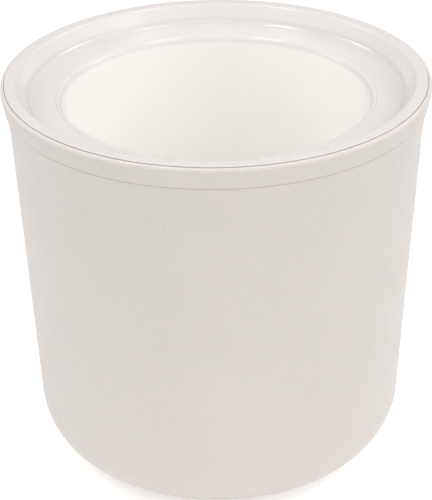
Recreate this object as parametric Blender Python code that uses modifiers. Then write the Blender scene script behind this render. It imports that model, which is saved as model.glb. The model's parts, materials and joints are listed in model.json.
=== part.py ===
"""Insulated round yogurt maker with a lift-out pot.

The outer shell, the collar with its lid seat, the inner liner and the pot are thin turned walls.
Expanded foam and foil fill the space between the shell and the liner. The liner hangs from the
collar on small screws, and screws under the feet pull the liner and collar down on the shell.
Metres, +Z up, origin at the centre of the base, at the underside of the feet.
"""

import math

import bmesh
import bpy
from mathutils import Matrix

MM = 0.001
GAP = 0.3 * MM
SEGMENTS = 48
SMALL_SEGMENTS = 16

# Overall sizes. RIM_Z is the height of the widest ring, just under the shell's top edge.
RIM_RADIUS = 100.0 * MM
FOOT_PROUD = 1.2 * MM
SHELL_HEIGHT = 191.2 * MM
BASE_Z = FOOT_PROUD
RIM_Z = BASE_Z + SHELL_HEIGHT

# Outer shell: a flared band at the top, a fine step, a drafted wall and a round bottom corner.
SHELL_WALL = 2.4 * MM
SHELL_FLOOR = 2.6 * MM
LIP_TOP_Z = RIM_Z + 0.6 * MM
LIP_INNER_RADIUS = 98.7 * MM
LIP_FOOT_Z = RIM_Z - 1.6 * MM
STEP_Z = RIM_Z - 9.3 * MM
STEP_RADIUS = 98.22 * MM
STEP_DEPTH = 0.43 * MM
FLARE_SLOPE = 0.187
FLARE_END_Z = RIM_Z - 25.0 * MM
WALL_TOP_RADIUS = 96.3 * MM
WALL_SLOPE = 0.0545
CORNER_RADIUS = 31.1 * MM
LEDGE_Z = RIM_Z - 4.5 * MM
THROAT_RADIUS = 96.0 * MM
THROAT_FOOT_RADIUS = 95.3 * MM

# Bead inside the shell's throat, which the collar's hooks snap under.
BEAD_Z = RIM_Z - 9.8 * MM
BEAD_RADIUS = 93.85 * MM
BEAD_FLAT = 1.2 * MM
BEAD_RAMP_BELOW = 1.0 * MM
BEAD_RAMP_ABOVE = 1.8 * MM

# Collar: rounded crown, sloped recess wall, fillet and the flat shelf that a lid stands on.
CROWN_Z = RIM_Z + 1.0 * MM
COLLAR_RADIUS = LIP_INNER_RADIUS - 0.35 * MM
CROWN_OUTER_ROUND = 0.75 * MM
CROWN_INNER_ROUND = 1.6 * MM
SHELF_Z = RIM_Z - 8.2 * MM
SHELF_OUTER_RADIUS = 85.4 * MM
FILLET_RADIUS = 4.0 * MM
RECESS_WALL_ANGLE = math.radians(65)
MOUTH_RADIUS = 74.9 * MM
MOUTH_CHAMFER = 0.4 * MM
MOUTH_BOTTOM_Z = RIM_Z - 11.4 * MM
UNDERSIDE_RADIUS = 86.6 * MM
UNDERSIDE_TOP_Z = RIM_Z - 6.6 * MM
COLLAR_WALL = 2.7 * MM
FLANGE_BOTTOM_Z = RIM_Z - 3.1 * MM
SKIRT_RADIUS = 93.3 * MM
SKIRT_WALL = 1.7 * MM
SKIRT_BOTTOM_Z = RIM_Z - 15.5 * MM
INNER_SKIRT_RADIUS = 76.2 * MM
INNER_SKIRT_WALL = 2.0 * MM
INNER_SKIRT_BOTTOM_Z = RIM_Z - 17.6 * MM
HOOK_COUNT = 6
HOOK_WIDTH = 10.0 * MM
HOOK_REACH = 1.1 * MM
HOOK_HEIGHT = 2.4 * MM
HOOK_Z = SKIRT_BOTTOM_Z + 1.9 * MM

# Inner liner: the hanging tub around the pot, with a flange that is screwed under the collar.
LINER_WALL = 2.2 * MM
LINER_TOP_Z = RIM_Z - 13.8 * MM
LINER_INNER_RADIUS = 73.3 * MM
LINER_SLOPE = 0.021
LINER_FLOOR_Z = 28.7 * MM
LINER_CORNER = 10.0 * MM
LINER_FLANGE_Z = RIM_Z - 19.0 * MM
LINER_FLANGE_RADIUS = 88.5 * MM

# Lift-out pot: rolled rim that stands a little above the shelf, drafted wall, round corner.
POT_WALL = 1.5 * MM
POT_FLOOR = 1.7 * MM
POT_CREST_Z = RIM_Z - 7.9 * MM
POT_RIM_RADIUS = 74.5 * MM
POT_RIM_ROUND = 2.7 * MM
POT_RIM_EDGE = 0.5 * MM
POT_RIM_BOTTOM_Z = RIM_Z - 12.1 * MM
POT_SLOPE = 0.03
POT_CORNER = 9.5 * MM
PAD_HEIGHT = 1.5 * MM
PAD_RADIUS = 6.0 * MM
PAD_EDGE = 0.5 * MM
PAD_CIRCLE = 45.0 * MM

# Silicone rings, as inner and outer radius.
SHELL_SEAL = (96.4 * MM, 98.2 * MM)
POT_SEAT = (73.5 * MM, 75.3 * MM)
SEAL_INSET = 0.2 * MM

# Fasteners and feet.
FOOT_CIRCLE = 40.0 * MM
FOOT_RADIUS = 11.0 * MM
FOOT_HEIGHT = 2.9 * MM
FOOT_EDGE = 0.6 * MM
FOOT_RECESS_Z = FOOT_HEIGHT + GAP
HEAD_RECESS_Z = 7.2 * MM
HEAD_RECESS_RADIUS = 5.2 * MM
HEAD_TOP_Z = 5.6 * MM
WASHER_RADIUS = 4.7 * MM
CUP_RADIUS = 13.5 * MM
CUP_TOP_Z = 10.0 * MM
BOSS_RADIUS = 4.5 * MM
BOSS_BOTTOM_Z = CUP_TOP_Z + GAP
BASE_SCREW_RADIUS = 1.9 * MM
BASE_SCREW_LENGTH = 15.5 * MM
BASE_PILOT_DEPTH = 12.5 * MM
FLANGE_SCREW_CIRCLE = 83.2 * MM
FLANGE_SCREW_COUNT = 4
FLANGE_SCREW_RADIUS = 1.4 * MM
FLANGE_SCREW_LENGTH = 9.0 * MM
COLLAR_BOSS_RADIUS = 3.7 * MM
SCREW_CLEARANCE = 0.4 * MM

# Insulation. PASSAGE sizes clear the bosses and cups, OVERRUN takes a cutter past a face.
FOIL = 0.5 * MM
FOAM_TOP_Z = RIM_Z - 24.2 * MM
FOAM_DISC_TOP_Z = 25.4 * MM
FOIL_SLEEVE_BOTTOM_Z = 40.0 * MM
FOIL_DISC_RADIUS = 60.0 * MM
PASSAGE_CLEARANCE = 0.7 * MM
PASSAGE_TOP_Z = 35.0 * MM
OVERRUN = 1.0 * MM

# Colours are linear RGB.
MATERIALS = {
    "shell_plastic": ((0.72, 0.68, 0.64), 0.55, 0.0),
    "collar_plastic": ((0.76, 0.73, 0.70), 0.28, 0.0),
    "pot_plastic": ((0.86, 0.82, 0.75), 0.35, 0.0),
    "liner_plastic": ((0.80, 0.78, 0.74), 0.40, 0.0),
    "foam": ((0.88, 0.88, 0.87), 0.90, 0.0),
    "foil": ((0.80, 0.80, 0.82), 0.25, 1.0),
    "silicone": ((0.78, 0.77, 0.74), 0.60, 0.0),
    "foot_rubber": ((0.42, 0.41, 0.40), 0.75, 0.0),
    "screw_steel": ((0.60, 0.60, 0.62), 0.30, 1.0),
}


def start_clean():
    """Remove the scene's objects and make the two collections."""
    for obj in list(bpy.data.objects):
        bpy.data.objects.remove(obj, do_unlink=True)
    for name in ("yogurt_maker", "cutters"):
        bpy.context.scene.collection.children.link(bpy.data.collections.new(name))


def material(slot):
    """Principled material of a slot, made once."""
    if slot in bpy.data.materials:
        return bpy.data.materials[slot]
    colour, roughness, metallic = MATERIALS[slot]
    made = bpy.data.materials.new(slot)
    made.use_nodes = True
    shader = made.node_tree.nodes["Principled BSDF"]
    shader.inputs["Base Color"].default_value = (*colour, 1.0)
    shader.inputs["Roughness"].default_value = roughness
    shader.inputs["Metallic"].default_value = metallic
    return made


def add_part(name, mesh, slot, location=(0, 0, 0)):
    """Named sub-part in the object's collection."""
    mesh.materials.clear()
    mesh.materials.append(material(slot))
    obj = bpy.data.objects.new(name, mesh)
    obj.location = location
    bpy.data.collections["yogurt_maker"].objects.link(obj)
    return obj


def add_cutter(name, mesh):
    """Helper that a Boolean reads and a render leaves out."""
    obj = bpy.data.objects.new(name, mesh)
    obj.hide_render = True
    obj.display_type = "WIRE"
    bpy.data.collections["cutters"].objects.link(obj)
    return obj


def arc(centre, radius, start, end, steps):
    """Points on a circle from one angle to the other, in degrees, both ends included."""
    turns = [math.radians(start + (end - start) * i / steps) for i in range(steps + 1)]
    return [(centre[0] + radius * math.cos(t), centre[1] + radius * math.sin(t)) for t in turns]


def profile_mesh(name, points, closed):
    """Edges of an outline in the XZ plane, running down its outer side."""
    mesh = bpy.data.meshes.new(name)
    edges = [(i, i + 1) for i in range(len(points) - 1)]
    if closed:
        edges.append((len(points) - 1, 0))
    mesh.from_pydata([(x, 0, z) for x, z in points], edges, [])
    return mesh


def add_screw(obj, segments):
    """Turn an outline about the object's Z axis."""
    turn = obj.modifiers.new("turn", "SCREW")
    turn.axis = "Z"
    turn.steps = segments
    turn.render_steps = segments
    turn.use_merge_vertices = True
    turn.merge_threshold = 0.00001


def turned_part(name, points, slot, closed=True, segments=SEGMENTS):
    """Sub-part turned about the world's Z axis."""
    obj = add_part(name, profile_mesh(name, points, closed), slot)
    add_screw(obj, segments)
    return obj


def evaluated_mesh(obj):
    """The object's mesh after its modifiers. The object itself is removed."""
    graph = bpy.context.evaluated_depsgraph_get()
    mesh = bpy.data.meshes.new_from_object(obj.evaluated_get(graph))
    bpy.data.objects.remove(obj, do_unlink=True)
    return mesh


def turned_mesh(points, closed=False, segments=SMALL_SEGMENTS):
    """Mesh of a small turned shape about its own Z axis."""
    obj = bpy.data.objects.new("template", profile_mesh("template", points, closed))
    bpy.data.collections["cutters"].objects.link(obj)
    add_screw(obj, segments)
    bpy.context.view_layer.update()
    return evaluated_mesh(obj)


def box_mesh(size, centre=(0, 0, 0)):
    """Box of the given size about a point."""
    builder = bmesh.new()
    bmesh.ops.create_cube(builder, size=1.0)
    place = Matrix.Translation(centre) @ Matrix.Diagonal((*size, 1.0))
    bmesh.ops.transform(builder, matrix=place, verts=builder.verts)
    mesh = bpy.data.meshes.new("box")
    builder.to_mesh(mesh)
    builder.free()
    return mesh


def around(mesh, count, radius, first_angle):
    """One mesh with copies of another at equal angles about the world's Z axis."""
    builder = bmesh.new()
    for index in range(count):
        before = len(builder.verts)
        builder.from_mesh(mesh)
        builder.verts.ensure_lookup_table()
        turn = Matrix.Rotation(first_angle + index * math.tau / count, 4, "Z")
        place = turn @ Matrix.Translation((radius, 0, 0))
        bmesh.ops.transform(builder, matrix=place, verts=builder.verts[before:])
    group = bpy.data.meshes.new(mesh.name + "_group")
    builder.to_mesh(group)
    builder.free()
    return group


def at_feet(mesh):
    """Copies at the four feet, on the diagonals."""
    return around(mesh, 4, FOOT_CIRCLE, math.radians(45))


def at_flange_screws(mesh):
    """Copies at the screws that hold the liner under the collar."""
    return around(mesh, FLANGE_SCREW_COUNT, FLANGE_SCREW_CIRCLE, 0)


def add_copies(names, mesh, slot, radius, first_angle, height=0):
    """Sub-parts that share a mesh, at equal angles about the world's Z axis."""
    for index, name in enumerate(names):
        turn = first_angle + index * math.tau / len(names)
        place = (radius * math.cos(turn), radius * math.sin(turn), height)
        add_part(name, mesh, slot, place).rotation_euler.z = turn


def boolean(obj, operation, name, mesh):
    """Join or cut an object with a helper."""
    step = obj.modifiers.new(name, "BOOLEAN")
    step.operation = operation
    step.solver = "EXACT"
    step.object = add_cutter(name, mesh)


def cylinder_profile(radius, low, high):
    """Outline of a plain cylinder, top to bottom."""
    return [(0, high), (radius, high), (radius, low), (0, low)]


def wall_radius(z):
    """Outer radius of the shell's drafted wall at a height."""
    return WALL_TOP_RADIUS + WALL_SLOPE * (z - FLARE_END_Z)


WALL_ANGLE = math.atan(WALL_SLOPE)
CORNER_Z = BASE_Z + CORNER_RADIUS
CORNER_X = wall_radius(CORNER_Z) - CORNER_RADIUS / math.cos(WALL_ANGLE)


def shell_inside(offset, z):
    """Radius of the surface that lies a given distance inside the shell's outer face."""
    if z > CORNER_Z:
        return wall_radius(z) - offset / math.cos(WALL_ANGLE)
    reach = CORNER_RADIUS - offset
    return CORNER_X + math.sqrt(reach**2 - (CORNER_Z - z) ** 2)


def flare():
    """Concave curve under the step, from the flare's slope to the wall's."""
    points = []
    steps = 4
    height = STEP_Z - FLARE_END_Z
    for index in range(steps + 1):
        down = index / steps
        lost = height * (FLARE_SLOPE * down - (FLARE_SLOPE - WALL_SLOPE) * down**2 / 2)
        points.append((STEP_RADIUS - lost, STEP_Z - height * down))
    return points


def make_shell():
    inner_floor_z = BASE_Z + SHELL_FLOOR
    bead_low = BEAD_Z - BEAD_FLAT / 2
    bead_high = BEAD_Z + BEAD_FLAT / 2
    inner_corner = CORNER_RADIUS - SHELL_WALL
    first = math.degrees(math.asin((inner_floor_z - CORNER_Z) / inner_corner))
    inner = arc((CORNER_X, CORNER_Z), inner_corner, first, -math.degrees(WALL_ANGLE), 6)
    inside_top = [
        (shell_inside(SHELL_WALL, FLARE_END_Z), FLARE_END_Z),
        (THROAT_FOOT_RADIUS, bead_low - BEAD_RAMP_BELOW),
        (BEAD_RADIUS, bead_low),
        (BEAD_RADIUS, bead_high),
        (THROAT_RADIUS, bead_high + BEAD_RAMP_ABOVE),
        (THROAT_RADIUS, LEDGE_Z),
        (LIP_INNER_RADIUS, LEDGE_Z),
    ]
    lip_middle = (LIP_INNER_RADIUS + RIM_RADIUS) / 2
    lip_round = (RIM_RADIUS - LIP_INNER_RADIUS) / 2
    lip = [
        (LIP_INNER_RADIUS, LIP_TOP_Z),
        *arc((lip_middle, LIP_TOP_Z - lip_round), lip_round, 90, 15, 3),
        (RIM_RADIUS, LIP_FOOT_Z),
        (STEP_RADIUS + STEP_DEPTH, STEP_Z + 0.1 * MM),
    ]
    outer_corner = arc((CORNER_X, CORNER_Z), CORNER_RADIUS, -math.degrees(WALL_ANGLE), -90, 8)
    outline = [(0, inner_floor_z)] + inner + inside_top + lip + flare() + outer_corner + [(0, BASE_Z)]
    shell = turned_part("outer_shell", outline, "shell_plastic", closed=False)

    cup = turned_mesh(cylinder_profile(CUP_RADIUS, BASE_Z + SHELL_FLOOR / 2, CUP_TOP_Z), segments=24)
    boolean(shell, "UNION", "shell_cups", at_feet(cup))
    well = [
        (0, CUP_TOP_Z + OVERRUN),
        (BASE_SCREW_RADIUS + SCREW_CLEARANCE, CUP_TOP_Z + OVERRUN),
        (BASE_SCREW_RADIUS + SCREW_CLEARANCE, HEAD_RECESS_Z),
        (HEAD_RECESS_RADIUS, HEAD_RECESS_Z),
        (HEAD_RECESS_RADIUS, FOOT_RECESS_Z),
        (FOOT_RADIUS + GAP, FOOT_RECESS_Z),
        (FOOT_RADIUS + GAP, BASE_Z - OVERRUN),
        (0, BASE_Z - OVERRUN),
    ]
    boolean(shell, "DIFFERENCE", "shell_wells", at_feet(turned_mesh(well)))


def make_collar():
    crown_outer = arc(
        (COLLAR_RADIUS - CROWN_OUTER_ROUND, CROWN_Z - CROWN_OUTER_ROUND), CROWN_OUTER_ROUND, 90, 0, 3
    )
    skirt_inner = SKIRT_RADIUS - SKIRT_WALL
    inner_skirt_outer = INNER_SKIRT_RADIUS + INNER_SKIRT_WALL
    shelf_bottom = SHELF_Z - COLLAR_WALL
    underside = [
        (COLLAR_RADIUS, FLANGE_BOTTOM_Z),
        (SKIRT_RADIUS, FLANGE_BOTTOM_Z),
        (SKIRT_RADIUS, SKIRT_BOTTOM_Z),
        (skirt_inner, SKIRT_BOTTOM_Z),
        (skirt_inner, UNDERSIDE_TOP_Z),
        (UNDERSIDE_RADIUS, shelf_bottom),
        (inner_skirt_outer, shelf_bottom),
        (inner_skirt_outer, INNER_SKIRT_BOTTOM_Z),
        (INNER_SKIRT_RADIUS, INNER_SKIRT_BOTTOM_Z),
        (INNER_SKIRT_RADIUS, MOUTH_BOTTOM_Z),
        (MOUTH_RADIUS, MOUTH_BOTTOM_Z),
        (MOUTH_RADIUS, SHELF_Z - MOUTH_CHAMFER),
        (MOUTH_RADIUS + MOUTH_CHAMFER, SHELF_Z),
    ]
    fillet_end = math.degrees(RECESS_WALL_ANGLE) - 90
    fillet = arc((SHELF_OUTER_RADIUS, SHELF_Z + FILLET_RADIUS), FILLET_RADIUS, -90, fillet_end, 4)
    wall_x, wall_z = fillet[-1]
    tangent_z = CROWN_Z - CROWN_INNER_ROUND * (1 - math.cos(RECESS_WALL_ANGLE))
    tangent_x = wall_x + (tangent_z - wall_z) / math.tan(RECESS_WALL_ANGLE)
    crown_x = tangent_x + CROWN_INNER_ROUND * math.sin(RECESS_WALL_ANGLE)
    crown_inner = arc(
        (crown_x, CROWN_Z - CROWN_INNER_ROUND),
        CROWN_INNER_ROUND,
        90 + math.degrees(RECESS_WALL_ANGLE),
        90,
        3,
    )
    outline = crown_outer + underside + fillet + crown_inner
    collar = turned_part("rim_collar", outline, "collar_plastic")

    hook = box_mesh(
        (SKIRT_WALL / 2 + HOOK_REACH, HOOK_WIDTH, HOOK_HEIGHT),
        ((HOOK_REACH - SKIRT_WALL / 2) / 2, 0, HOOK_Z),
    )
    boolean(collar, "UNION", "collar_hooks", around(hook, HOOK_COUNT, SKIRT_RADIUS, 0))
    boss = turned_mesh(
        cylinder_profile(COLLAR_BOSS_RADIUS, LINER_FLANGE_Z + GAP, SHELF_Z - COLLAR_WALL / 2)
    )
    boolean(collar, "UNION", "collar_bosses", at_flange_screws(boss))
    pilot_radius = FLANGE_SCREW_RADIUS + GAP
    pilot = turned_mesh(
        cylinder_profile(pilot_radius, LINER_FLANGE_Z - OVERRUN, shelf_bottom - 2 * GAP),
        segments=12,
    )
    boolean(collar, "DIFFERENCE", "collar_pilots", at_flange_screws(pilot))


def liner_outer_radius(z):
    """Outer radius of the liner's wall at a height."""
    return LINER_INNER_RADIUS + LINER_WALL + LINER_SLOPE * (z - LINER_TOP_Z)


def make_liner():
    corner_z = LINER_FLOOR_Z + LINER_CORNER
    wall_low = LINER_INNER_RADIUS + LINER_SLOPE * (corner_z - LINER_TOP_Z)
    corner_x = wall_low - LINER_CORNER
    flange_bottom = LINER_FLANGE_Z - LINER_WALL
    outer_low = wall_low + LINER_WALL
    outline = (
        [(0, LINER_FLOOR_Z)]
        + arc((corner_x, corner_z), LINER_CORNER, -90, 0, 4)
        + [
            (LINER_INNER_RADIUS, LINER_TOP_Z),
            (LINER_INNER_RADIUS + LINER_WALL, LINER_TOP_Z),
            (liner_outer_radius(LINER_FLANGE_Z), LINER_FLANGE_Z),
            (LINER_FLANGE_RADIUS, LINER_FLANGE_Z),
            (LINER_FLANGE_RADIUS, flange_bottom),
            (liner_outer_radius(flange_bottom), flange_bottom),
        ]
        + arc((outer_low - LINER_CORNER - LINER_WALL, corner_z), LINER_CORNER + LINER_WALL, 0, -90, 4)
        + [(0, LINER_FLOOR_Z - LINER_WALL)]
    )
    liner = turned_part("inner_liner", outline, "liner_plastic", closed=False)

    boss = turned_mesh(cylinder_profile(BOSS_RADIUS, BOSS_BOTTOM_Z, LINER_FLOOR_Z - LINER_WALL / 2))
    boolean(liner, "UNION", "liner_bosses", at_feet(boss))
    pilot_top = BOSS_BOTTOM_Z + BASE_PILOT_DEPTH
    pilot = turned_mesh(
        cylinder_profile(BASE_SCREW_RADIUS + GAP, BOSS_BOTTOM_Z - OVERRUN, pilot_top), segments=12
    )
    boolean(liner, "DIFFERENCE", "liner_pilots", at_feet(pilot))
    hole = turned_mesh(
        cylinder_profile(
            FLANGE_SCREW_RADIUS + SCREW_CLEARANCE, flange_bottom - OVERRUN, LINER_FLANGE_Z + OVERRUN
        ),
        segments=12,
    )
    boolean(liner, "DIFFERENCE", "flange_holes", at_flange_screws(hole))


def make_pot():
    pads_top = LINER_FLOOR_Z + GAP + PAD_HEIGHT
    bottom_z = pads_top + GAP
    floor_z = bottom_z + POT_FLOOR
    crest_x = POT_RIM_RADIUS - POT_RIM_EDGE
    wall_top = (crest_x - POT_RIM_ROUND, POT_CREST_Z - POT_RIM_ROUND)
    corner_z = floor_z + POT_CORNER
    wall_low = wall_top[0] - POT_SLOPE * (wall_top[1] - corner_z)
    rim_neck = wall_top[0] + POT_WALL
    outer_corner = POT_CORNER + POT_WALL
    outer_corner_z = bottom_z + outer_corner
    outline = (
        [(0, floor_z)]
        + arc((wall_low - POT_CORNER, corner_z), POT_CORNER, -90, 0, 4)
        + arc((crest_x, POT_CREST_Z - POT_RIM_ROUND), POT_RIM_ROUND, 180, 90, 4)
        + [
            (POT_RIM_RADIUS, POT_CREST_Z - POT_RIM_EDGE),
            (POT_RIM_RADIUS, POT_RIM_BOTTOM_Z),
            (rim_neck, POT_RIM_BOTTOM_Z),
        ]
        + arc((wall_low + POT_WALL - outer_corner, outer_corner_z), outer_corner, 0, -90, 4)
        + [(0, bottom_z)]
    )
    turned_part("yogurt_pot", outline, "pot_plastic", closed=False)


def ring_profile(inner, outer, low, high):
    """Outline of a flat ring, down its outer side first."""
    return [(outer, high), (outer, low), (inner, low), (inner, high)]


def make_seals():
    seal_top = FLANGE_BOTTOM_Z - GAP
    shell_seal = ring_profile(*SHELL_SEAL, LEDGE_Z + GAP, seal_top)
    turned_part("shell_seal_ring", shell_seal, "silicone")
    liner_seal = ring_profile(
        INNER_SKIRT_RADIUS + SEAL_INSET,
        INNER_SKIRT_RADIUS + INNER_SKIRT_WALL - SEAL_INSET,
        LINER_FLANGE_Z + GAP,
        INNER_SKIRT_BOTTOM_Z - GAP,
    )
    turned_part("liner_seal_ring", liner_seal, "silicone")
    seat = ring_profile(*POT_SEAT, LINER_TOP_Z + GAP, POT_RIM_BOTTOM_Z - GAP)
    turned_part("pot_seat_ring", seat, "silicone")


def make_pads():
    low = LINER_FLOOR_Z + GAP
    high = low + PAD_HEIGHT
    pad = [
        (0, high),
        (PAD_RADIUS - PAD_EDGE, high),
        (PAD_RADIUS, high - PAD_EDGE),
        (PAD_RADIUS, low),
        (0, low),
    ]
    names = [f"pot_rest_pad_{number}" for number in (1, 2, 3)]
    add_copies(names, turned_mesh(pad), "silicone", PAD_CIRCLE, math.radians(90))


def make_insulation():
    sleeve_low = FOIL_SLEEVE_BOTTOM_Z
    sleeve_high = LINER_FLANGE_Z - LINER_WALL - 4 * GAP
    inside_low = liner_outer_radius(sleeve_low) + GAP
    inside_high = liner_outer_radius(sleeve_high) + GAP
    sleeve = [
        (inside_high + FOIL, sleeve_high),
        (inside_low + FOIL, sleeve_low),
        (inside_low, sleeve_low),
        (inside_high, sleeve_high),
    ]
    turned_part("reflective_sleeve", sleeve, "foil")

    foil_low = FOAM_DISC_TOP_Z + GAP
    sheet = cylinder_profile(FOIL_DISC_RADIUS, foil_low, foil_low + FOIL)
    foil_disc = turned_part("reflective_disc", sheet, "foil", closed=False)
    boss_passage = BOSS_RADIUS + PASSAGE_CLEARANCE
    cup_passage = CUP_RADIUS + PASSAGE_CLEARANCE
    passage_step_z = CUP_TOP_Z + 2 * GAP
    passage = turned_mesh(cylinder_profile(boss_passage, 0, PASSAGE_TOP_Z), segments=12)
    boolean(foil_disc, "DIFFERENCE", "foil_passages", at_feet(passage))

    outer_offset = SHELL_WALL + GAP
    disc_low = BASE_Z + SHELL_FLOOR + GAP
    disc_heights = [disc_low + (FOAM_DISC_TOP_Z - disc_low) * t for t in (1, 0.6, 0.3, 0.12, 0)]
    disc_side = [(shell_inside(outer_offset, z), z) for z in disc_heights]
    disc = [(0, FOAM_DISC_TOP_Z)] + disc_side + [(0, disc_low)]
    foam_disc = turned_part("foam_base_disc", disc, "foam", closed=False)
    stepped = [
        (0, PASSAGE_TOP_Z),
        (boss_passage, PASSAGE_TOP_Z),
        (boss_passage, passage_step_z),
        (cup_passage, passage_step_z),
        (cup_passage, 0),
        (0, 0),
    ]
    boolean(foam_disc, "DIFFERENCE", "foam_passages", at_feet(turned_mesh(stepped)))

    half_low = FOAM_DISC_TOP_Z + GAP
    side_heights = (FOAM_TOP_Z, CORNER_Z, half_low)
    side = [(shell_inside(outer_offset, z), z) for z in side_heights]
    inner_gap = 2 * GAP + FOIL
    hollow = [(liner_outer_radius(z) + inner_gap, z) for z in (half_low, FOAM_TOP_Z)]
    reach = 1.2 * RIM_RADIUS
    for name, sign in (("foam_half_left", 1), ("foam_half_right", -1)):
        half = turned_part(name, side + hollow, "foam")
        away = box_mesh((reach, 2 * reach, 2 * RIM_Z), (sign * (reach - GAP) / 2, 0, 0))
        boolean(half, "DIFFERENCE", name + "_split", away)


def screw_mesh(radius, length):
    """Pan-head screw that points up from its head, with a cross recess in the head."""
    head_radius = 2.1 * radius
    head_height = 1.1 * radius
    tip = 1.05 * radius
    outline = [
        (0, length),
        (radius * 0.35, length),
        (radius, length - tip),
        (radius, 0),
        (head_radius, 0),
        (head_radius, -head_height * 0.55),
        (head_radius * 0.75, -head_height),
        (0, -head_height),
    ]
    screw = bpy.data.objects.new("screw", turned_mesh(outline, segments=12))
    bpy.data.collections["cutters"].objects.link(screw)
    arm = head_radius * 0.9
    slot_width = head_radius * 0.22
    depth = head_height
    boolean(screw, "DIFFERENCE", "cross_x", box_mesh((arm, slot_width, depth), (0, 0, -head_height)))
    boolean(screw, "DIFFERENCE", "cross_y", box_mesh((slot_width, arm, depth), (0, 0, -head_height)))
    bpy.context.view_layer.update()
    return evaluated_mesh(screw)


def make_fasteners():
    base_screw = screw_mesh(BASE_SCREW_RADIUS, BASE_SCREW_LENGTH)
    washer_hole = BASE_SCREW_RADIUS + SCREW_CLEARANCE
    washer = turned_mesh(
        ring_profile(washer_hole, WASHER_RADIUS, HEAD_TOP_Z + GAP, HEAD_RECESS_Z - GAP), closed=True
    )
    flange_screw = screw_mesh(FLANGE_SCREW_RADIUS, FLANGE_SCREW_LENGTH)
    under_flange = LINER_FLANGE_Z - LINER_WALL - GAP
    numbers = (1, 2, 3, 4)
    feet_angle = math.radians(45)
    base_names = [f"base_screw_{number}" for number in numbers]
    add_copies(base_names, base_screw, "screw_steel", FOOT_CIRCLE, feet_angle, HEAD_TOP_Z)
    washer_names = [f"screw_washer_{number}" for number in numbers]
    add_copies(washer_names, washer, "silicone", FOOT_CIRCLE, feet_angle)
    flange_names = [f"flange_screw_{number}" for number in numbers]
    add_copies(flange_names, flange_screw, "screw_steel", FLANGE_SCREW_CIRCLE, 0, under_flange)


def make_feet():
    outline = [
        (0, FOOT_HEIGHT),
        (FOOT_RADIUS, FOOT_HEIGHT),
        (FOOT_RADIUS, FOOT_EDGE),
        (FOOT_RADIUS - FOOT_EDGE, 0),
        (0, 0),
    ]
    names = ("foot_rear_right", "foot_rear_left", "foot_front_left", "foot_front_right")
    foot = turned_mesh(outline, segments=24)
    add_copies(names, foot, "foot_rubber", FOOT_CIRCLE, math.radians(45))


def shade():
    """Smooth faces, with sharp edges kept."""
    meshes = {obj.data for obj in bpy.data.collections["yogurt_maker"].objects}
    for mesh in sorted(meshes, key=lambda m: m.name):
        if mesh.polygons:
            mesh.shade_smooth()
            mesh.set_sharp_from_angle(angle=math.radians(35))


start_clean()
make_shell()
make_collar()
make_liner()
make_pot()
make_seals()
make_pads()
make_insulation()
make_fasteners()
make_feet()
shade()
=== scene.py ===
"""Looks of the insulated yogurt maker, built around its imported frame. Metres, +Z up."""

import json
import math

import bmesh
import bpy
from mathutils import Matrix, Vector


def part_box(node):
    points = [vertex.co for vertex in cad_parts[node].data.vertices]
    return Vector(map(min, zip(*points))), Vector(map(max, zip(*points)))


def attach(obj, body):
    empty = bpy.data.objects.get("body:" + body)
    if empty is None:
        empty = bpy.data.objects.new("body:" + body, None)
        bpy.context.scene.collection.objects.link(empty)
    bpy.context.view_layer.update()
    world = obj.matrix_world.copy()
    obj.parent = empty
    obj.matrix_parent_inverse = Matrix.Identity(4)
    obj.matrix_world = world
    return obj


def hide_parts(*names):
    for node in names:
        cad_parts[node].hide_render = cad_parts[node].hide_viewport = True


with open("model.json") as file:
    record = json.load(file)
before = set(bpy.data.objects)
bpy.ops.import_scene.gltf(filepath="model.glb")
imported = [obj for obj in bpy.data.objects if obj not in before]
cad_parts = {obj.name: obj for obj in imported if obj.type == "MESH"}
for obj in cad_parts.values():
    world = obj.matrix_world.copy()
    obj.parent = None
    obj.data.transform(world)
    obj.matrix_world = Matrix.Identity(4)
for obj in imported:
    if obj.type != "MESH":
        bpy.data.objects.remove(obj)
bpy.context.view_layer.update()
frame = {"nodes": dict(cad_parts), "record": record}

MM = 0.001
SEGMENTS = 192
SMALL_SEGMENTS = 64
BOSS_SEGMENTS = 32
HOLE_SEGMENTS = 24
CLEARANCE = 0.3 * MM
OVERRUN = 1.0 * MM
FINE_EDGE = 0.1 * MM
SOFT_EDGE = 0.2 * MM
CONTAINER = "container"
POT = "pot"

# Places read from the frame.
shell_low, shell_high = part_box("outer_shell")
collar_low, collar_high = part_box("rim_collar")
liner_low, liner_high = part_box("inner_liner")
pot_low, pot_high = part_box("yogurt_pot")
foot_low, foot_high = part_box("foot_rear_right")
screw_low, screw_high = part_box("flange_screw_1")

RIM_RADIUS = shell_high.x
BASE_Z = shell_low.z
CROWN_Z = collar_high.z
RIM_Z = CROWN_Z - 1.0 * MM
FOOT_CIRCLE = math.hypot(foot_low.x + foot_high.x, foot_low.y + foot_high.y) / 2
FOOT_RADIUS = 11.0 * MM
FLANGE_SCREW_CIRCLE = math.hypot(screw_low.x + screw_high.x, screw_low.y + screw_high.y) / 2

# Outer shell.
SHELL_WALL = 2.4 * MM
SHELL_FLOOR = 2.6 * MM
STEP_Z = RIM_Z - 9.3 * MM
STEP_RADIUS = RIM_RADIUS - 1.78 * MM
GROOVE_DEPTH = 0.22 * MM
FLARE_END_Z = RIM_Z - 25.0 * MM
FLARE_SLOPE = 0.187
WALL_TOP_RADIUS = RIM_RADIUS - 3.7 * MM
WALL_SLOPE = 0.0545
CORNER_RADIUS = 31.1 * MM
CUP_TOP_Z = 10.0 * MM

# Collar.
COLLAR_WALL = 2.7 * MM
COLLAR_SKIRT_RADIUS = 93.3 * MM
SHELF_Z = RIM_Z - 8.2 * MM
RECESS_ANGLE = math.radians(65)
RECESS_FOOT_RADIUS = 87.95 * MM
MOUTH_RADIUS = 74.9 * MM

# Liner.
LINER_WALL = 2.2 * MM
LINER_FLANGE_Z = RIM_Z - 19.0 * MM


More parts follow.
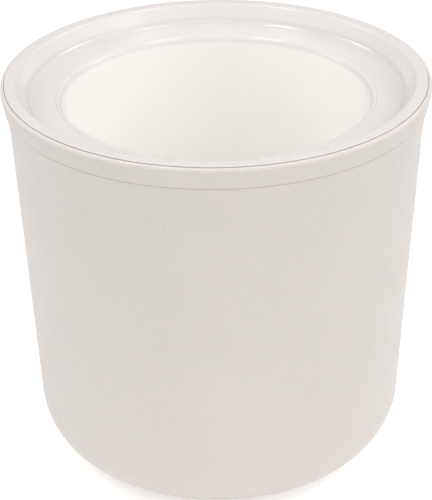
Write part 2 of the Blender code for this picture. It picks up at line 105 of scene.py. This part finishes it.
# Shapes ---------------------------------------------------------------------------------------


def arc_points(centre, start, sweep, radius, steps):
    """Points along an arc about a centre, both ends included."""
    turns = [start + sweep * i / steps for i in range(steps + 1)]
    return [(centre[0] + radius * math.cos(t), centre[1] + radius * math.sin(t)) for t in turns]


def rounded_corner(before, corner, after, radius, step_angle):
    """Arc that is tangent to both legs of a corner."""
    here = Vector(corner)
    back = (Vector(before) - here).normalized()
    ahead = (Vector(after) - here).normalized()
    half = back.angle(ahead) / 2
    centre = here + (back + ahead).normalized() * (radius / math.sin(half))
    start = here + back * (radius / math.tan(half)) - centre
    end = here + ahead * (radius / math.tan(half)) - centre
    first = math.atan2(start.y, start.x)
    sweep = math.remainder(math.atan2(end.y, end.x) - first, math.tau)
    steps = max(2, round(abs(sweep) / step_angle))
    return arc_points(centre, first, sweep, radius, steps)


def outline(corners, closed, step_angle=math.radians(9)):
    """Outline through (x, z, round) corners, each rounded to its own radius."""
    points = []
    for index, (x, z, radius) in enumerate(corners):
        at_end = not closed and index in (0, len(corners) - 1)
        if radius <= 0 or at_end:
            points.append((x, z))
            continue
        before = corners[index - 1][:2]
        after = corners[(index + 1) % len(corners)][:2]
        points += rounded_corner(before, (x, z), after, radius, step_angle)
    return points


def collect(obj):
    """Add an object to the scene."""
    bpy.context.scene.collection.objects.link(obj)
    return obj


def applied(obj):
    """Replace an object's mesh by the mesh its modifiers make."""
    bpy.context.view_layer.update()
    graph = bpy.context.evaluated_depsgraph_get()
    mesh = bpy.data.meshes.new_from_object(obj.evaluated_get(graph))
    obj.modifiers.clear()
    obj.data = mesh
    return obj


def turned(name, corners, closed, segments=SEGMENTS):
    """Solid turned about Z from a half section, either closed or with both ends on the axis."""
    points = outline(corners, closed)
    edges = [(i, i + 1) for i in range(len(points) - 1)]
    if closed:
        edges.append((len(points) - 1, 0))
    mesh = bpy.data.meshes.new(name)
    mesh.from_pydata([(x, 0, z) for x, z in points], edges, [])
    obj = collect(bpy.data.objects.new(name, mesh))
    turn = obj.modifiers.new("turn", "SCREW")
    turn.steps = segments
    turn.render_steps = segments
    turn.use_merge_vertices = True
    turn.merge_threshold = 0.001 * MM
    return applied(obj)


def around(obj, count, radius, first_angle=0.0):
    """Turn one shape into copies of itself at equal angles about Z, in one mesh."""
    builder = bmesh.new()
    for index in range(count):
        start = len(builder.verts)
        builder.from_mesh(obj.data)
        builder.verts.ensure_lookup_table()
        turn = Matrix.Rotation(first_angle + index * math.tau / count, 4, "Z")
        place = turn @ Matrix.Translation((radius, 0, 0))
        bmesh.ops.transform(builder, matrix=place, verts=builder.verts[start:])
    builder.to_mesh(obj.data)
    builder.free()
    return obj


def at_feet(obj):
    """Four copies of a shape, one at each foot."""
    return around(obj, 4, FOOT_CIRCLE, math.radians(45))


def at_flange_screws(obj):
    """Four copies of a shape, one at each flange screw."""
    return around(obj, 4, FLANGE_SCREW_CIRCLE)


def box(size, centre):
    """Rectangular block."""
    builder = bmesh.new()
    bmesh.ops.create_cube(builder, size=1.0)
    place = Matrix.Translation(centre) @ Matrix.Diagonal((*size, 1.0))
    bmesh.ops.transform(builder, matrix=place, verts=builder.verts)
    mesh = bpy.data.meshes.new("box")
    builder.to_mesh(mesh)
    builder.free()
    return collect(bpy.data.objects.new("box", mesh))


def plain_cylinder(radius, low, high, segments):
    corners = [(0, high, 0), (radius, high, 0), (radius, low, 0), (0, low, 0)]
    return turned("tool", corners, False, segments)


def combine(obj, operation, tool):
    """Join or cut with a tool, which is then removed."""
    step = obj.modifiers.new("combine", "BOOLEAN")
    step.operation = operation
    step.solver = "EXACT"
    step.object = tool
    applied(obj)
    bpy.data.objects.remove(tool)


def smooth(obj, sharp_angle=math.radians(32)):
    """Smooth faces with sharp edges kept, and normals that follow the larger faces."""
    obj.data.shade_smooth()
    obj.data.set_sharp_from_angle(angle=sharp_angle)
    weigh = obj.modifiers.new("weigh", "WEIGHTED_NORMAL")
    weigh.keep_sharp = True
    applied(obj)


# Materials ------------------------------------------------------------------------------------


def node(tree, kind, **values):
    """Node with its inputs and properties set by name."""
    made = tree.nodes.new(kind)
    for key, value in values.items():
        if key in made.inputs:
            made.inputs[key].default_value = value
        else:
            setattr(made, key, value)
    return made


def noise(tree, place, scale, detail=3.0, roughness=0.5):
    made = node(tree, "ShaderNodeTexNoise", Scale=scale, Detail=detail, Roughness=roughness)
    tree.links.new(place, made.inputs["Vector"])
    return made.outputs["Fac"]


def stretched(tree, place, scale):
    """Coordinates stretched along the axes."""
    made = node(tree, "ShaderNodeMapping")
    made.inputs["Scale"].default_value = scale
    tree.links.new(place, made.inputs["Vector"])
    return made.outputs["Vector"]


def between(tree, factor, low, high, spread=0.25):
    """Blend of two colours over the middle of a noise."""
    ramp = node(tree, "ShaderNodeValToRGB")
    ramp.color_ramp.elements[0].position = 0.5 - spread
    ramp.color_ramp.elements[0].color = (*low, 1)
    ramp.color_ramp.elements[1].position = 0.5 + spread
    ramp.color_ramp.elements[1].color = (*high, 1)
    tree.links.new(factor, ramp.inputs["Fac"])
    return ramp.outputs["Color"]


def ranged(tree, value, low, high, source=(0.3, 0.7)):
    """A value moved from its source range to the range from low to high."""
    made = node(tree, "ShaderNodeMapRange")
    made.inputs["From Min"].default_value = source[0]
    made.inputs["From Max"].default_value = source[1]
    made.inputs["To Min"].default_value = low
    made.inputs["To Max"].default_value = high
    tree.links.new(value, made.inputs["Value"])
    return made.outputs["Result"]


def maths(tree, operation, first, second=0.0):
    """Arithmetic on a socket and a second socket or a number."""
    made = node(tree, "ShaderNodeMath", operation=operation)
    tree.links.new(first, made.inputs[0])
    if isinstance(second, float):
        made.inputs[1].default_value = second
    else:
        tree.links.new(second, made.inputs[1])
    return made.outputs["Value"]


def bumped(tree, height, distance, strength=1.0, normal=None):
    made = node(tree, "ShaderNodeBump", Distance=distance, Strength=strength)
    tree.links.new(height, made.inputs["Height"])
    if normal:
        tree.links.new(normal, made.inputs["Normal"])
    return made.outputs["Normal"]


def shaded(colour, variation):
    """A colour a little darker and a little lighter."""
    low = tuple(c * (1 - variation) for c in colour)
    high = tuple(min(1.0, c * (1 + variation)) for c in colour)
    return low, high


def new_material(name):
    """Material with its tree, its shader and coordinates that stay on the object."""
    made = bpy.data.materials.new(name)
    made.use_nodes = True
    tree = made.node_tree
    shader = tree.nodes["Principled BSDF"]
    place = tree.nodes.new("ShaderNodeTexCoord").outputs["Object"]
    return made, tree, shader, place


def moulded(name, colour, roughness, grain_size, grain_height, variation=0.02, flow=0.0):
    """Moulded plastic: cloudy colour, uneven gloss, and a fine grain from the mould."""
    made, tree, shader, place = new_material(name)
    cloud = noise(tree, place, scale=22.0, detail=4.0, roughness=0.55)
    grain = noise(tree, place, scale=1 / grain_size, detail=2.0, roughness=0.55)
    tone = maths(tree, "MULTIPLY", maths(tree, "ADD", cloud, grain), 0.5)
    tree.links.new(between(tree, tone, *shaded(colour, variation)), shader.inputs["Base Color"])
    gloss = noise(tree, place, scale=140.0, roughness=0.6)
    uneven = ranged(tree, gloss, roughness * 0.9, roughness * 1.12)
    tree.links.new(uneven, shader.inputs["Roughness"])
    normal = bumped(tree, grain, grain_height)
    if flow:
        along = stretched(tree, place, (1, 1, 0.35))
        swell = noise(tree, along, scale=60.0, detail=2.0, roughness=0.4)
        normal = bumped(tree, swell, flow, normal=normal)
    tree.links.new(normal, shader.inputs["Normal"])
    shader.inputs["IOR"].default_value = 1.56
    return made


def height_of(tree, place):
    split = tree.nodes.new("ShaderNodeSeparateXYZ")
    tree.links.new(place, split.inputs["Vector"])
    return split.outputs["Z"]


def reach_of(tree, place):
    """Distance from the Z axis."""
    length = node(tree, "ShaderNodeVectorMath", operation="LENGTH")
    tree.links.new(stretched(tree, place, (1, 1, 0)), length.inputs[0])
    return length.outputs["Value"]


def tinted(material, colour, *ramps, measure=height_of):
    """Blend a material to another colour over heights or reaches, each ramp from none to full."""
    tree = material.node_tree
    shader = tree.nodes["Principled BSDF"]
    value = measure(tree, tree.nodes.new("ShaderNodeTexCoord").outputs["Object"])
    factor = ranged(tree, value, 0.0, 1.0, ramps[0])
    for ramp in ramps[1:]:
        factor = maths(tree, "MULTIPLY", factor, ranged(tree, value, 0.0, 1.0, ramp))
    mix = node(tree, "ShaderNodeMix", data_type="RGBA")
    first, second = (socket for socket in mix.inputs if socket.type == "RGBA")
    result = next(socket for socket in mix.outputs if socket.type == "RGBA")
    tree.links.new(factor, mix.inputs["Factor"])
    tree.links.new(shader.inputs["Base Color"].links[0].from_socket, first)
    second.default_value = (*colour, 1)
    tree.links.new(result, shader.inputs["Base Color"])


def shell_material():
    made = moulded(
        "shell_plastic",
        (0.590, 0.548, 0.519),
        roughness=0.50,
        grain_size=1.3 * MM,
        grain_height=0.11 * MM,
        variation=0.04,
        flow=0.05 * MM,
    )
    # Painted highlight: the lip is tinted lighter from 1.6 mm below the rim, fully from 0.3 mm
    # below it.
    tinted(made, (0.668, 0.620, 0.586), (RIM_Z - 1.6 * MM, RIM_Z - 0.3 * MM))
    return made


def collar_material():
    """Glossier plastic, painted lighter up the recess wall, with painted shade in the seam round
    its outer edge.
    """
    made = moulded(
        "collar_plastic",
        (0.674, 0.637, 0.617),
        roughness=0.15,
        grain_size=0.9 * MM,
        grain_height=0.01 * MM,
        variation=0.012,
        flow=0.06 * MM,
    )
    # Painted light: the recess wall is tinted lighter between its fillet and the crown; the fillet
    # keeps the darker base colour.
    wall_foot = (SHELF_Z + 2.0 * MM, SHELF_Z + 3.6 * MM)
    wall_top = (CROWN_Z, CROWN_Z - 1.2 * MM)
    tinted(made, (0.745, 0.708, 0.688), wall_foot, wall_top)
    # Painted shade: a dark band on the collar's outer face, in the seam against the shell's lip.
    painted_seam_shade = (collar_high.x - 0.16 * MM, collar_high.x - 0.04 * MM)
    tinted(made, (0.43, 0.38, 0.35), painted_seam_shade, measure=reach_of)
    return made


def pot_material():
    # Painted light: the pot's colour is made very light, so that its deep inside looks brightly
    # lit.
    made = moulded(
        "pot_plastic",
        (0.918, 0.902, 0.880),
        roughness=0.12,
        grain_size=0.9 * MM,
        grain_height=0.01 * MM,
        variation=0.01,
        flow=0.02 * MM,
    )
    # Painted shade: the rim is tinted darker, back to the collar's tone, from 3.6 mm below its
    # crest, fully from 1.4 mm below it.
    tinted(made, (0.69, 0.655, 0.633), (pot_high.z - 3.6 * MM, pot_high.z - 1.4 * MM))
    return made


def liner_material():
    return moulded(
        "liner_plastic",
        (0.84, 0.81, 0.77),
        roughness=0.40,
        grain_size=0.9 * MM,
        grain_height=0.03 * MM,
    )


def beads_material(name):
    """Expanded foam: pressed beads, each with its own shade."""
    made, tree, shader, place = new_material(name)
    cells = node(tree, "ShaderNodeTexVoronoi", Scale=260.0, Randomness=0.9)
    tree.links.new(place, cells.inputs["Vector"])
    depth = cells.outputs["Distance"]
    shade = between(tree, depth, (0.92, 0.92, 0.91), (0.80, 0.80, 0.79), spread=0.4)
    tree.links.new(shade, shader.inputs["Base Color"])
    tree.links.new(ranged(tree, depth, 0.8, 0.95), shader.inputs["Roughness"])
    tree.links.new(bumped(tree, depth, -0.4 * MM, strength=0.8), shader.inputs["Normal"])
    return made


def foil_material(name):
    """Aluminium foil with soft creases."""
    made, tree, shader, place = new_material(name)
    tint = noise(tree, place, scale=40.0)
    shade = between(tree, tint, (0.76, 0.76, 0.78), (0.86, 0.86, 0.88))
    tree.links.new(shade, shader.inputs["Base Color"])
    shader.inputs["Metallic"].default_value = 1.0
    tree.links.new(ranged(tree, tint, 0.18, 0.34), shader.inputs["Roughness"])
    creases = noise(tree, place, scale=170.0, detail=5.0, roughness=0.7)
    tree.links.new(bumped(tree, creases, 0.5 * MM, strength=0.7), shader.inputs["Normal"])
    return made


def steel_material(name):
    """Zinc-plated screw steel with turning marks."""
    made, tree, shader, place = new_material(name)
    marks = noise(tree, stretched(tree, place, (1, 1, 14)), scale=700.0)
    shade = between(tree, marks, (0.52, 0.52, 0.54), (0.68, 0.68, 0.70))
    tree.links.new(shade, shader.inputs["Base Color"])
    shader.inputs["Metallic"].default_value = 1.0
    tree.links.new(ranged(tree, marks, 0.22, 0.4), shader.inputs["Roughness"])
    tree.links.new(bumped(tree, marks, 0.02 * MM), shader.inputs["Normal"])
    return made


def rubber_material(name, colour, roughness):
    """Soft rubber or silicone with a dusty, uneven surface."""
    made, tree, shader, place = new_material(name)
    dust = noise(tree, place, scale=320.0, detail=5.0, roughness=0.65)
    tree.links.new(between(tree, dust, *shaded(colour, 0.06)), shader.inputs["Base Color"])
    uneven = ranged(tree, dust, roughness * 0.9, roughness * 1.15)
    tree.links.new(uneven, shader.inputs["Roughness"])
    pores = noise(tree, place, scale=2200.0)
    tree.links.new(bumped(tree, pores, 0.02 * MM), shader.inputs["Normal"])
    return made


SHELL = shell_material()
COLLAR = collar_material()
POT_PLASTIC = pot_material()
LINER = liner_material()
FOAM = beads_material("foam")
FOIL = foil_material("foil")
STEEL = steel_material("screw_steel")
SILICONE = rubber_material("silicone", (0.78, 0.77, 0.74), roughness=0.55)
FOOT_RUBBER = rubber_material("foot_rubber", (0.42, 0.41, 0.40), roughness=0.75)


def dress(obj, material, slot, body, *nodes):
    """Give a finished piece its material, its body and the CAD nodes that it stands for."""
    obj.data.materials.clear()
    obj.data.materials.append(material)
    smooth(obj)
    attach(obj, body)
    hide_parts(*nodes)


# Pieces ---------------------------------------------------------------------------------------


def wall_radius(z):
    return WALL_TOP_RADIUS + WALL_SLOPE * (z - FLARE_END_Z)


def flare(steps=14):
    """Concave curve below the groove, whose slope falls from the flare's to the wall's."""
    drop = STEP_Z - FLARE_END_Z
    points = []
    for index in range(2, steps + 1):
        down = index / steps
        lost = drop * (FLARE_SLOPE * down - (FLARE_SLOPE - WALL_SLOPE) * down**2 / 2)
        points.append((STEP_RADIUS - lost, STEP_Z - drop * down, 0))
    return points


def shell_section(floor_z):
    """Half section of the shell: up its inside, over the lip and down its outside."""
    bead_radius = 93.85 * MM
    bead_low_z = RIM_Z - 10.4 * MM
    bead_high_z = RIM_Z - 9.2 * MM
    throat_radius = 96.0 * MM
    throat_foot_z = RIM_Z - 7.4 * MM
    ledge_z = RIM_Z - 4.5 * MM
    lip_radius = collar_high.x + 0.08 * MM
    lip_top_z = RIM_Z + 0.45 * MM
    groove_radius = STEP_RADIUS - GROOVE_DEPTH
    hollow_radius = 30.0 * MM
    hollow_z = BASE_Z + 0.5 * MM
    gate_radius = 4.0 * MM
    gate_z = BASE_Z + 0.1 * MM
    return [
        (0, floor_z, 0),
        (wall_radius(floor_z) - SHELL_WALL, floor_z, CORNER_RADIUS - SHELL_WALL),
        (wall_radius(FLARE_END_Z) - SHELL_WALL, FLARE_END_Z, 0),
        (throat_radius - 0.7 * MM, bead_low_z - 1.0 * MM, 0),
        (bead_radius, bead_low_z, 0),
        (bead_radius, bead_high_z, 0),
        (throat_radius - 0.1 * MM, throat_foot_z, 0),
        (throat_radius, ledge_z, 0.3 * MM),
        (lip_radius, ledge_z, SOFT_EDGE),
        (lip_radius, lip_top_z, FINE_EDGE),
        (RIM_RADIUS - 0.25 * MM, lip_top_z, 1.1 * MM),
        (RIM_RADIUS, RIM_Z - 1.7 * MM, 2.0 * MM),
        (STEP_RADIUS + 0.43 * MM, STEP_Z + 0.05 * MM, 0.12 * MM),
        (groove_radius, STEP_Z, FINE_EDGE),
        (groove_radius, STEP_Z - 0.45 * MM, FINE_EDGE),
        (STEP_RADIUS - 0.08 * MM, STEP_Z - 0.8 * MM, SOFT_EDGE),
        *flare(),
        (wall_radius(BASE_Z), BASE_Z, CORNER_RADIUS),
        (hollow_radius, BASE_Z, 0),
        (hollow_radius - 0.6 * MM, hollow_z, SOFT_EDGE),
        (gate_radius + 0.5 * MM, hollow_z, SOFT_EDGE),
        (gate_radius, gate_z, SOFT_EDGE),
        (0, gate_z, 0),
    ]


def foot_well():
    """Cutter for a foot's recess, with the screw head's recess and the screw's hole above it."""
    hole_radius = 2.3 * MM
    head_radius = 5.2 * MM
    head_top_z = 7.2 * MM
    recess_radius = FOOT_RADIUS + CLEARANCE
    recess_top_z = foot_high.z + CLEARANCE
    corners = [
        (0, CUP_TOP_Z + OVERRUN, 0),
        (hole_radius, CUP_TOP_Z + OVERRUN, 0),
        (hole_radius, head_top_z, 0),
        (head_radius, head_top_z, 0),
        (head_radius, recess_top_z, 0),
        (recess_radius, recess_top_z, 0),
        (recess_radius, BASE_Z - OVERRUN, 0),
        (0, BASE_Z - OVERRUN, 0),
    ]
    return turned("tool", corners, False, SMALL_SEGMENTS)


def make_shell():
    cup_radius = 13.5 * MM
    floor_z = BASE_Z + SHELL_FLOOR
    shell = turned("shell_moulding", shell_section(floor_z), False)
    cup = plain_cylinder(cup_radius, floor_z - SHELL_FLOOR / 2, CUP_TOP_Z, SMALL_SEGMENTS)
    combine(shell, "UNION", at_feet(cup))
    combine(shell, "DIFFERENCE", at_feet(foot_well()))
    dress(shell, SHELL, "shell_plastic", CONTAINER, "outer_shell")


def collar_section(shelf_bottom_z):
    """Half section of the collar, all round from the top of its outer edge."""
    edge = collar_high.x
    crown_x = RECESS_FOOT_RADIUS + (CROWN_Z - SHELF_Z) / math.tan(RECESS_ANGLE)
    skirt_top_z = RIM_Z - 3.1 * MM
    skirt_low_z = collar_low.z + 3.2 * MM
    skirt_inside = COLLAR_SKIRT_RADIUS - 1.7 * MM
    shelf_under_radius = 86.6 * MM
    tube_inside = 76.2 * MM
    tube_outside = 78.2 * MM
    tube_low_z = RIM_Z - 17.6 * MM
    mouth_low_z = RIM_Z - 11.4 * MM
    mouth_edge = MOUTH_RADIUS - 0.18 * MM
    return [
        (edge, CROWN_Z, 0.5 * MM),
        (edge, skirt_top_z, SOFT_EDGE),
        (COLLAR_SKIRT_RADIUS, skirt_top_z, 0.4 * MM),
        (COLLAR_SKIRT_RADIUS, skirt_low_z, SOFT_EDGE),
        (skirt_inside, skirt_low_z, SOFT_EDGE),
        (skirt_inside, RIM_Z - 6.6 * MM, 0.5 * MM),
        (shelf_under_radius, shelf_bottom_z, 1.5 * MM),
        (tube_outside, shelf_bottom_z, 0.4 * MM),
        (tube_outside, tube_low_z, SOFT_EDGE),
        (tube_inside, tube_low_z, SOFT_EDGE),
        (tube_inside, mouth_low_z, 0.3 * MM),
        (MOUTH_RADIUS, mouth_low_z, SOFT_EDGE),
        (MOUTH_RADIUS, SHELF_Z - 2.2 * MM, SOFT_EDGE),
        (mouth_edge, SHELF_Z - 1.9 * MM, SOFT_EDGE),
        (mouth_edge, SHELF_Z - 0.05 * MM, FINE_EDGE),
        (MOUTH_RADIUS + 3.2 * MM, SHELF_Z, 3.0 * MM),
        (RECESS_FOOT_RADIUS, SHELF_Z, 4.0 * MM),
        (crown_x, CROWN_Z, 1.6 * MM),
    ]


def make_collar():
    hook_size = (2.0 * MM, 10.0 * MM, 2.4 * MM)
    hook_centre = (0.1 * MM, 0, RIM_Z - 13.6 * MM)
    boss_radius = 3.7 * MM
    boss_low_z = RIM_Z - 18.7 * MM
    pilot_radius = 1.7 * MM
    shelf_bottom_z = SHELF_Z - COLLAR_WALL
    pilot_top_z = shelf_bottom_z - 0.6 * MM
    collar = turned("collar_moulding", collar_section(shelf_bottom_z), True)
    combine(collar, "UNION", around(box(hook_size, hook_centre), 6, COLLAR_SKIRT_RADIUS))
    boss = plain_cylinder(boss_radius, boss_low_z, SHELF_Z - COLLAR_WALL / 2, BOSS_SEGMENTS)
    combine(collar, "UNION", at_flange_screws(boss))
    pilot = plain_cylinder(pilot_radius, boss_low_z - 1.3 * MM, pilot_top_z, HOLE_SEGMENTS)
    combine(collar, "DIFFERENCE", at_flange_screws(pilot))
    dress(collar, COLLAR, "collar_plastic", CONTAINER, "rim_collar")


def make_pot():
    wall = 1.5 * MM
    floor = 1.7 * MM
    slope = 0.03
    rim_round = 2.7 * MM
    rim = pot_high.x
    rim_edge = rim + 0.18 * MM
    rim_low_z = RIM_Z - 12.1 * MM
    crest_z = pot_high.z
    bottom_z = pot_low.z
    floor_z = bottom_z + floor
    hollow_radius = 54.0 * MM
    hollow_z = bottom_z + 0.6 * MM
    top_x = rim - 3.2 * MM

    def inner_x(z):
        return top_x - slope * (crest_z - rim_round - z)

    corners = [
        (0, floor_z, 0),
        (inner_x(floor_z), floor_z, 9.5 * MM),
        (inner_x(crest_z), crest_z, rim_round),
        (rim_edge, SHELF_Z, FINE_EDGE),
        (rim_edge, crest_z - 1.7 * MM, SOFT_EDGE),
        (rim, crest_z - 2.1 * MM, SOFT_EDGE),
        (rim, rim_low_z, 0.3 * MM),
        (top_x + wall, rim_low_z, 0.4 * MM),
        (inner_x(bottom_z) + wall, bottom_z, 11.0 * MM),
        (hollow_radius, bottom_z, 0.3 * MM),
        (hollow_radius - 1.0 * MM, hollow_z, 0.5 * MM),
        (0, hollow_z, 0),
    ]
    pot = turned("pot_moulding", corners, False)
    dress(pot, POT_PLASTIC, "pot_plastic", POT, "yogurt_pot")


def liner_section(floor_z, flange_low_z):
    """Half section of the liner: up its inside and down its outside, past the flange."""
    inner_top = 73.3 * MM
    slope = 0.021
    inner_corner = 10.0 * MM
    edge = 0.5 * MM
    flange_edge = 0.4 * MM
    top_z = liner_high.z
    bottom_z = floor_z - LINER_WALL

    def inner_x(z):
        return inner_top - slope * (top_z - z)

    return [
        (0, floor_z, 0),
        (inner_x(floor_z), floor_z, inner_corner),
        (inner_top, top_z, edge),
        (inner_top + LINER_WALL, top_z, edge),
        (inner_x(LINER_FLANGE_Z) + LINER_WALL, LINER_FLANGE_Z, edge),
        (liner_high.x, LINER_FLANGE_Z, flange_edge),
        (liner_high.x, flange_low_z, flange_edge),
        (inner_x(flange_low_z) + LINER_WALL, flange_low_z, edge),
        (inner_x(bottom_z) + LINER_WALL, bottom_z, inner_corner + LINER_WALL),
        (0, bottom_z, 0),
    ]


def make_liner():
    boss_radius = 4.5 * MM
    pilot_radius = 2.2 * MM
    pilot_depth = 12.5 * MM
    hole_radius = 1.8 * MM
    floor_z = 28.7 * MM
    boss_z = liner_low.z
    boss_top_z = floor_z - LINER_WALL / 2
    flange_low_z = LINER_FLANGE_Z - LINER_WALL
    liner = turned("liner_moulding", liner_section(floor_z, flange_low_z), False)
    boss = plain_cylinder(boss_radius, boss_z, boss_top_z, BOSS_SEGMENTS)
    combine(liner, "UNION", at_feet(boss))
    pilot = plain_cylinder(pilot_radius, boss_z - OVERRUN, boss_z + pilot_depth, HOLE_SEGMENTS)
    combine(liner, "DIFFERENCE", at_feet(pilot))
    flange_span = (flange_low_z - OVERRUN, LINER_FLANGE_Z + OVERRUN)
    hole = plain_cylinder(hole_radius, *flange_span, HOLE_SEGMENTS)
    combine(liner, "DIFFERENCE", at_flange_screws(hole))
    dress(liner, LINER, "liner_plastic", CONTAINER, "inner_liner")


def make_seals():
    """Soft rings with rounded edges, as wide as each seat allows."""
    widths = {
        "shell_seal_ring": 1.8 * MM,
        "liner_seal_ring": 1.6 * MM,
        "pot_seat_ring": 1.8 * MM,
    }
    for name, width in widths.items():
        low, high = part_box(name)
        inner = high.x - width
        soft = (high.z - low.z) * 0.35
        corners = [
            (high.x, high.z, soft),
            (high.x, low.z, soft),
            (inner, low.z, soft),
            (inner, high.z, soft),
        ]
        ring = turned(name + "_soft", corners, True)
        dress(ring, SILICONE, "silicone", CONTAINER, name)


def foot_section(low_z, high_z):
    """Half section of a foot, with a fine ring groove under it."""
    groove_inside = 7.2 * MM
    groove_outside = 8.2 * MM
    groove_z = low_z + 0.3 * MM
    return [
        (0, high_z, 0),
        (FOOT_RADIUS, high_z, 0.3 * MM),
        (FOOT_RADIUS, low_z, 0.7 * MM),
        (groove_outside, low_z, SOFT_EDGE),
        (groove_outside - 0.2 * MM, groove_z, FINE_EDGE),
        (groove_inside + 0.2 * MM, groove_z, FINE_EDGE),
        (groove_inside, low_z, SOFT_EDGE),
        (0, low_z, 0),
    ]


def pad_section(low_z, high_z):
    radius = 6.0 * MM
    return [(0, high_z, 0), (radius, high_z, 0.6 * MM), (radius, low_z, FINE_EDGE), (0, low_z, 0)]


def make_disc(name, section, material, slot):
    """Soft disc that stands where its CAD node does."""
    low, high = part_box(name)
    middle = (low + high) / 2
    disc = turned(name + "_soft", section(low.z, high.z), False, SMALL_SEGMENTS)
    disc.data.transform(Matrix.Translation((middle.x, middle.y, 0)))
    dress(disc, material, slot, CONTAINER, name)


def make_discs():
    for corner in ("front_left", "front_right", "rear_left", "rear_right"):
        make_disc("foot_" + corner, foot_section, FOOT_RUBBER, "foot_rubber")
    for number in ("1", "2", "3"):
        make_disc("pot_rest_pad_" + number, pad_section, SILICONE, "silicone")


def dress_hidden_nodes():
    """Inner CAD nodes keep their shape and get a finished material."""
    looks = {"foam": FOAM, "foil": FOIL, "screw_steel": STEEL, "silicone": SILICONE}
    for part in frame["record"]["subparts"]:
        look = looks.get(part["material_slot"])
        obj = frame["nodes"][part["node"]]
        if look:
            obj.data.materials.clear()
            obj.data.materials.append(look)


# Stage ----------------------------------------------------------------------------------------

# Brightness of the white tent: overhead, and what its front, its sides and its high rear add.
TENT_BASE = 0.12
TENT_FRONT = 0.64
TENT_SIDE = 0.60
TENT_SIDE_AT_REAR = 0.18
TENT_REAR = 0.52

# Painted light: glow that the floor gives of its own, a pool brightest at the object and fainter
# far from it.
NEAR_GLOW = 0.32
FAR_GLOW = 0.10

# Camera, in rim radii from the rim's centre, and in degrees.
CAMERA_BACK = 8.22
CAMERA_UP = 3.49
CAMERA_DOWN_ANGLE = 28.17
CAMERA_PAN = 0.069
CAMERA_ROLL = -0.721
CAMERA_LENS = 137.8


def make_floor():
    builder = bmesh.new()
    bmesh.ops.create_grid(builder, x_segments=8, y_segments=8, size=6.0)
    mesh = bpy.data.meshes.new("floor")
    builder.to_mesh(mesh)
    builder.free()
    floor = collect(bpy.data.objects.new("floor", mesh))
    made, tree, shader, place = new_material("floor")
    tone = noise(tree, place, scale=3.0)
    shade = between(tree, tone, (0.88, 0.88, 0.88), (0.90, 0.90, 0.90))
    tree.links.new(shade, shader.inputs["Base Color"])
    shader.inputs["Roughness"].default_value = 0.9
    shader.inputs["Specular IOR Level"].default_value = 0.1
    shader.inputs["Emission Color"].default_value = (1.0, 1.0, 1.0, 1.0)
    # Painted light: the floor glows, brightest round the object.
    span = (RIM_RADIUS, 5 * RIM_RADIUS)
    glow = ranged(tree, reach_of(tree, place), NEAR_GLOW, FAR_GLOW, span)
    tree.links.new(glow, shader.inputs["Emission Strength"])
    mesh.materials.append(made)


def make_tent():
    """White tent around the object, whose brightness changes with direction."""
    world = bpy.data.worlds.new("studio")
    world.use_nodes = True
    tree = world.node_tree
    background = tree.nodes["Background"]
    background.inputs["Color"].default_value = (1.0, 1.0, 1.0, 1.0)
    way = tree.nodes.new("ShaderNodeSeparateXYZ")
    tree.links.new(tree.nodes.new("ShaderNodeTexCoord").outputs["Generated"], way.inputs["Vector"])
    across, along, up = (way.outputs[axis] for axis in "XYZ")
    side_strength = ranged(tree, along, TENT_SIDE, TENT_SIDE_AT_REAR, (0.0, 1.0))
    sides = maths(tree, "MULTIPLY", maths(tree, "ABSOLUTE", across), side_strength)
    front = ranged(tree, along, 0.0, TENT_FRONT, (0.0, -1.0))
    high = ranged(tree, up, 0.0, 1.0, (0.22, 0.45))
    rear = maths(tree, "MULTIPLY", ranged(tree, along, 0.0, TENT_REAR, (0.0, 0.5)), high)
    total = maths(tree, "ADD", maths(tree, "ADD", sides, front), rear)
    total = maths(tree, "ADD", total, TENT_BASE)
    tree.links.new(total, background.inputs["Strength"])
    bpy.context.scene.world = world


def area_light(name, place, size, power):
    """Rectangular light that faces the middle of the rim."""
    data = bpy.data.lights.new(name, "AREA")
    data.shape = "RECTANGLE"
    data.size, data.size_y = size
    data.energy = power
    light = collect(bpy.data.objects.new(name, data))
    light.location = place
    aim = Vector((0, 0, RIM_Z)) - Vector(place)
    light.rotation_euler = aim.to_track_quat("-Z", "Y").to_euler()


def make_lights():
    """A broad front light, a box at each side, two overhead strips and two low side boxes."""
    area_light("front_box", place=(0.0, -1.05, 1.54), size=(1.8, 0.8), power=7.0)
    area_light("left_box", place=(-1.15, -0.25, 1.40), size=(1.3, 0.8), power=2.2)
    area_light("right_box", place=(1.25, -0.40, 1.20), size=(1.3, 0.8), power=4.6)
    for side in (-1, 1):
        area_light("overhead_strip", place=(side * 0.34, 0.10, 1.25), size=(0.26, 0.20), power=1.7)
        area_light("side_box", place=(side * 0.92, 0.32, 0.80), size=(0.34, 0.30), power=1.6)


def make_camera():
    data = bpy.data.cameras.new("camera")
    data.sensor_width = 36.0
    data.lens = CAMERA_LENS
    data.clip_start = 0.01
    camera = collect(bpy.data.objects.new("camera", data))
    pitch = Matrix.Rotation(math.radians(90 - CAMERA_DOWN_ANGLE), 4, "X")
    pan = Matrix.Rotation(math.radians(CAMERA_PAN), 4, "Z")
    roll = Matrix.Rotation(math.radians(CAMERA_ROLL), 4, "Z")
    stand = (0, -CAMERA_BACK * RIM_RADIUS, RIM_Z + CAMERA_UP * RIM_RADIUS)
    camera.matrix_world = Matrix.Translation(stand) @ pan @ pitch @ roll
    bpy.context.scene.camera = camera


bpy.context.scene.view_settings.view_transform = "Standard"
bpy.context.scene.cycles.diffuse_bounces = 12
make_camera()
make_tent()
make_lights()
make_floor()
make_shell()
make_collar()
make_pot()
make_liner()
make_seals()
make_discs()
dress_hidden_nodes()
